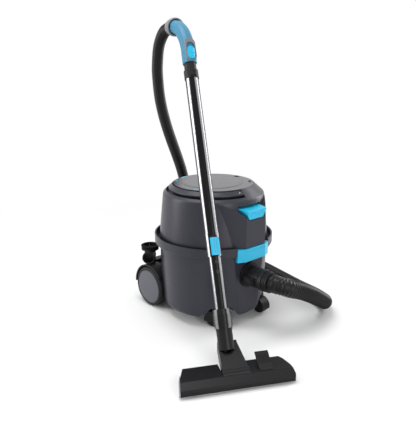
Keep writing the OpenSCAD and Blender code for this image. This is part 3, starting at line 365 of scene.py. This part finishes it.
def build_surface_group():
    """Fine moulded grain, a slow change of tone and light dust on what faces up."""
    tree, given, result = new_group(
        "Moulded surface",
        [("Color", "NodeSocketColor", (0.1, 0.1, 0.1, 1)), ("Roughness", "NodeSocketFloat", 0.4),
         ("Grain Scale", "NodeSocketFloat", 900.0), ("Grain Depth", "NodeSocketFloat", 0.1),
         ("Mottle", "NodeSocketFloat", 0.05), ("Dust", "NodeSocketFloat", 0.05),
         ("Normal", "NodeSocketVector", (0, 0, 0))],
        [("Color", "NodeSocketColor"), ("Roughness", "NodeSocketFloat"), ("Normal", "NodeSocketVector")],
    )
    coord = tree.nodes.new("ShaderNodeTexCoord")

    grain = tree.nodes.new("ShaderNodeTexNoise")
    grain.inputs["Detail"].default_value = 2
    link(tree, coord, "Object", grain, "Vector")
    link(tree, given, "Grain Scale", grain, "Scale")
    bump = tree.nodes.new("ShaderNodeBump")
    bump.inputs["Distance"].default_value = GRAIN_HEIGHT
    link(tree, given, "Grain Depth", bump, "Strength")
    link(tree, grain, "Fac", bump, "Height")
    link(tree, given, "Normal", bump, "Normal")
    link(tree, bump, "Normal", result, "Normal")

    slow = add_noise(tree, coord, TONE_SCALE, 4)
    centred = add_math(tree, "SUBTRACT", (slow, "Fac"), 0.5)
    tone = add_math(tree, "MULTIPLY_ADD", (centred, "Value"), (given, "Mottle"), 1.0)
    shade = tree.nodes.new("ShaderNodeVectorMath")
    shade.operation = "SCALE"
    link(tree, given, "Color", shade, 0)
    link(tree, tone, "Value", shade, "Scale")
    rough = add_math(tree, "MULTIPLY_ADD", (centred, "Value"), ROUGHNESS_CHANGE,
                     (given, "Roughness"), clamp=True)
    link(tree, rough, "Value", result, "Roughness")

    geometry = tree.nodes.new("ShaderNodeNewGeometry")
    split = tree.nodes.new("ShaderNodeSeparateXYZ")
    link(tree, geometry, "Normal", split, "Vector")
    specks = add_noise(tree, coord, DUST_SCALE, 3)
    settled = add_math(tree, "MULTIPLY", (split, "Z"), (specks, "Fac"), clamp=True)
    dust = add_math(tree, "MULTIPLY", (settled, "Value"), (given, "Dust"), clamp=True)
    dusty = add_color_mix(tree, (dust, "Value"), (shade, "Vector"), DUST_COLOR)
    link(tree, dusty, MIX_RESULT, result, "Color")
    return tree


def build_painted_reflection_group():
    """Mask of the painted reflection: pale bands painted towards a dark tube's two edges, by how far its
    surface turns from the eye.
    """
    tree, given, result = new_group("Painted edge reflections", [("Strength", "NodeSocketFloat", 1.0)],
                                    [("Band", "NodeSocketFloat")])
    turn = tree.nodes.new("ShaderNodeLayerWeight")
    turn.inputs["Blend"].default_value = 0.5
    ramp = tree.nodes.new("ShaderNodeValToRGB")
    stops = ramp.color_ramp.elements
    for i, (place, level) in enumerate(PAINTED_REFLECTION_STOPS):
        stop = stops[i] if i < 2 else stops.new(place)
        stop.position = place
        stop.color = (level, level, level, 1)
    link(tree, turn, "Facing", ramp, "Fac")
    strength = add_math(tree, "MULTIPLY", (ramp, "Color"), (given, "Strength"))
    link(tree, strength, "Value", result, "Band")
    return tree


SURFACE = build_surface_group()
PAINTED_REFLECTION_GROUP = build_painted_reflection_group()


def finish_with(name, color, rough, metallic=0.0, grain=900, depth=0.08, mottle=0.06, dust=0.04,
                specular=0.5, bands=0.0):
    """A material of the moulded surface with softened edges, and with pale metallic painted reflection
    bands where bands isn't 0.
    """
    mat = bpy.data.materials.new(name)
    mat.use_nodes = True
    tree = mat.node_tree
    shader = tree.nodes["Principled BSDF"]
    surface = add_group(tree, SURFACE, {
        "Color": color, "Roughness": rough, "Grain Scale": grain, "Grain Depth": depth,
        "Mottle": mottle, "Dust": dust})
    soft_edge = tree.nodes.new("ShaderNodeBevel")
    soft_edge.samples = 4
    soft_edge.inputs["Radius"].default_value = SOFT_EDGE_R
    link(tree, soft_edge, "Normal", surface, "Normal")
    link(tree, surface, "Color", shader, "Base Color")
    link(tree, surface, "Roughness", shader, "Roughness")
    link(tree, surface, "Normal", shader, "Normal")
    shader.inputs["Metallic"].default_value = metallic
    shader.inputs["Specular IOR Level"].default_value = specular
    # Painted reflection: towards the tube's edges the base colour turns pale grey and metallic.
    if bands:
        reflection_mask = add_group(tree, PAINTED_REFLECTION_GROUP, {"Strength": bands})
        with_painted_reflection = add_color_mix(tree, (reflection_mask, "Band"), (surface, "Color"), PAINTED_REFLECTION_COLOR)
        link(tree, with_painted_reflection, MIX_RESULT, shader, "Base Color")
        link(tree, reflection_mask, "Band", shader, "Metallic")
    return mat


FINISH = {
    "shell grey": finish_with("Shell grey plastic", srgb(48, 48, 58), 0.34, mottle=0.05, dust=0.02,
                              specular=0.3),
    # Painted light: the top plate and filter cover are the shell's plastic, given a lighter grey for the
    # light falling on them from above, and a little more gloss.
    "shell grey painted lighter": finish_with("Top grey plastic", srgb(74, 74, 80), 0.28, dust=0.03),
    "cap grey": finish_with("Hub cap grey plastic", srgb(88, 88, 96), 0.40, dust=0.03, specular=0.3),
    "collar grey": finish_with("Collar grey plastic", srgb(120, 120, 124), 0.40, dust=0.02),
    "light grey": finish_with("Light grey plastic", srgb(160, 160, 165), 0.42, dust=0.02),
    "trim black": finish_with("Trim black plastic", srgb(26, 26, 28), 0.42, dust=0.03, specular=0.2),
    "nozzle black": finish_with("Nozzle black plastic", srgb(20, 20, 22), 0.34, dust=0.01, specular=0.2),
    "hose black": finish_with("Hose black plastic", srgb(14, 14, 15), 0.32, grain=700, depth=0.05,
                              dust=0.0, specular=0.22),
    # The gloss black tubes and coupling get painted reflection bands on their edges, of strength bands.
    "tube black": finish_with("Tube gloss black", srgb(14, 14, 16), 0.24, depth=0.0, mottle=0.02,
                              dust=0.0, specular=0.15, bands=0.9),
    "coupling black": finish_with("Coupling gloss black", srgb(18, 18, 20), 0.30, depth=0.03,
                                  mottle=0.02, dust=0.0, specular=0.2, bands=0.6),
    "tyre black": finish_with("Tyre black rubber", srgb(32, 32, 34), 0.62, grain=600, depth=0.15,
                              dust=0.08, specular=0.2),
    "seal black": finish_with("Seal rubber", srgb(22, 22, 23), 0.7, dust=0.02, specular=0.2),
    "bristle": finish_with("Bristle black", srgb(18, 18, 19), 0.6, grain=2500, depth=0.6, dust=0.0,
                           specular=0.2),
    "cyan": finish_with("Cyan plastic", srgb(34, 184, 224), 0.30, mottle=0.03, dust=0.0, specular=0.4),
    "teal": finish_with("Teal soft grip", srgb(56, 126, 158), 0.45, grain=700, dust=0.02,
                        specular=0.35),
    "steel": finish_with("Bright steel", srgb(190, 190, 192), 0.28, metallic=1.0, grain=1500,
                         depth=0.04, dust=0.0),
    "copper": finish_with("Varnished copper", srgb(176, 102, 58), 0.35, metallic=1.0, grain=2000,
                          depth=0.3, dust=0.0),
    "paper": finish_with("Filter paper", srgb(214, 206, 182), 0.85, grain=1800, depth=0.35,
                         mottle=0.12, dust=0.0),
}

NODE_FINISH = {
    "shell grey": ("container", "bumper_ring", "head_housing", "carry_handle"),
    # The top plate and cover take the shell grey painted lighter, as painted light from above.
    "shell grey painted lighter": ("top_plate", "filter_cover"),
    "cap grey": ("hub_cap_right", "hub_cap_left"),
    "collar grey": ("slider_frame", "swivel_collar"),
    "light grey": ("end_caps",),
    "trim black": ("chassis", "inlet_socket", "hose_cuff", "cuff_button", "hinge_bracket",
                   "accessory_holder", "handle_spigot", "grip_ferrule", "head_base", "exhaust_tray",
                   "switch_module", "motor_housing", "castor_fork_right", "castor_fork_left",
                   "dusting_brush"),
    "nozzle black": ("nozzle_body", "nozzle_pedal", "nozzle_neck"),
    "hose black": ("hose",),
    "tube black": ("wand_inner_tube", "wand_outer_tube", "wand_sleeve"),
    "coupling black": ("wand_coupling",),
    "tyre black": ("wheel_right", "wheel_left", "castor_wheel_right", "castor_wheel_left",
                   "roller_right", "roller_left"),
    "seal black": ("head_seals",),
    "bristle": ("brush_strips", "brush_bristles"),
    "cyan": ("front_latch", "power_pedal", "cover_catches", "wand_button", "air_slider"),
    "teal": ("handle_grip",),
    "steel": ("stub_axles", "tub_pins", "head_pins", "nozzle_pins", "sole_plate", "fan_rotor",
              "fan_case"),
    "copper": ("stator",),
    "paper": ("dust_bag", "motor_filter", "exhaust_filter"),
}
for finish, names in NODE_FINISH.items():
    for name in names:
        mesh = NODES[name].data
        mesh.materials.clear()
        mesh.materials.append(FINISH[finish])
hose.data.materials.append(FINISH["hose black"])
brush_tufts.data.materials.append(FINISH["bristle"])

# ------------------------------------------------------------------ light and floor

WHITE = (1, 1, 1, 1)
ROOM_LIGHT = 0.38
MIDDLE = (0.0, 0.0, 0.35)
# Name, place, width and height in metres, power in watts.
LAMPS = (
    ("Overhead softbox", (-0.4, 0.3, 2.6), (1.6, 1.6), 40),
    ("Rear left strip softbox", (-1.9, 1.5, 0.9), (0.9, 2.2), 34),
    ("Rear right strip softbox", (2.3, -0.5, 0.9), (0.9, 2.2), 36),
    ("Front right strip softbox", (-0.62, -2.5, 0.9), (0.7, 2.0), 22),
)
FLOOR_SIZE = 60
FLOOR_COLOR = (0.92, 0.92, 0.92, 1)
# Distances from the middle between which the floor fades to plain white.
FADE_START, FADE_END = 0.55, 1.5


def build_world():
    """A room that lights the object softly and that the camera sees as white."""
    world = bpy.data.worlds.new("Pale room")
    world.use_nodes = True
    tree = world.node_tree
    room = tree.nodes["Background"]
    room.inputs["Color"].default_value = WHITE
    room.inputs["Strength"].default_value = ROOM_LIGHT
    seen = tree.nodes.new("ShaderNodeBackground")
    seen.inputs["Color"].default_value = WHITE
    seen.inputs["Strength"].default_value = 1.0
    rays = add_seen_rays(tree)
    add_shader_mix(tree, (rays, "Value"), (room, "Background"), (seen, "Background"),
                   tree.nodes["World Output"])
    return world


def add_soft_lamp(name, place, size, power):
    data = bpy.data.lights.new(name, "AREA")
    data.shape = "RECTANGLE"
    data.size, data.size_y = size
    data.energy = power
    lamp = bpy.data.objects.new(name, data)
    bpy.context.collection.objects.link(lamp)
    lamp.location = place
    aim = Vector(MIDDLE) - Vector(place)
    lamp.rotation_euler = aim.to_track_quat("-Z", "Y").to_euler()


def build_floor_material():
    """A matt floor that takes shadows near the object and turns plain white further out."""
    mat = bpy.data.materials.new("Studio white")
    mat.use_nodes = True
    tree = mat.node_tree
    lit = tree.nodes["Principled BSDF"]
    lit.inputs["Base Color"].default_value = FLOOR_COLOR
    lit.inputs["Roughness"].default_value = 0.9
    lit.inputs["Specular IOR Level"].default_value = 0.1
    white = tree.nodes.new("ShaderNodeEmission")
    white.inputs["Strength"].default_value = 1.0
    coord = tree.nodes.new("ShaderNodeTexCoord")
    reach = tree.nodes.new("ShaderNodeVectorMath")
    reach.operation = "LENGTH"
    link(tree, coord, "Object", reach, 0)
    fade = tree.nodes.new("ShaderNodeMapRange")
    fade.interpolation_type = "SMOOTHSTEP"
    fade.inputs["From Min"].default_value = FADE_START
    fade.inputs["From Max"].default_value = FADE_END
    link(tree, reach, "Value", fade, "Value")
    rays = add_seen_rays(tree)
    share = add_math(tree, "MULTIPLY", (rays, "Value"), (fade, "Result"))
    add_shader_mix(tree, (share, "Value"), (lit, "BSDF"), (white, "Emission"),
                   tree.nodes["Material Output"])
    return mat


bpy.context.scene.world = build_world()
for lamp in LAMPS:
    add_soft_lamp(*lamp)
bpy.ops.object.select_all(action="DESELECT")
bpy.ops.mesh.primitive_plane_add(size=FLOOR_SIZE, location=(0, 0, 0))
floor = bpy.context.object
floor.name = "Studio floor"
floor.data.materials.append(build_floor_material())
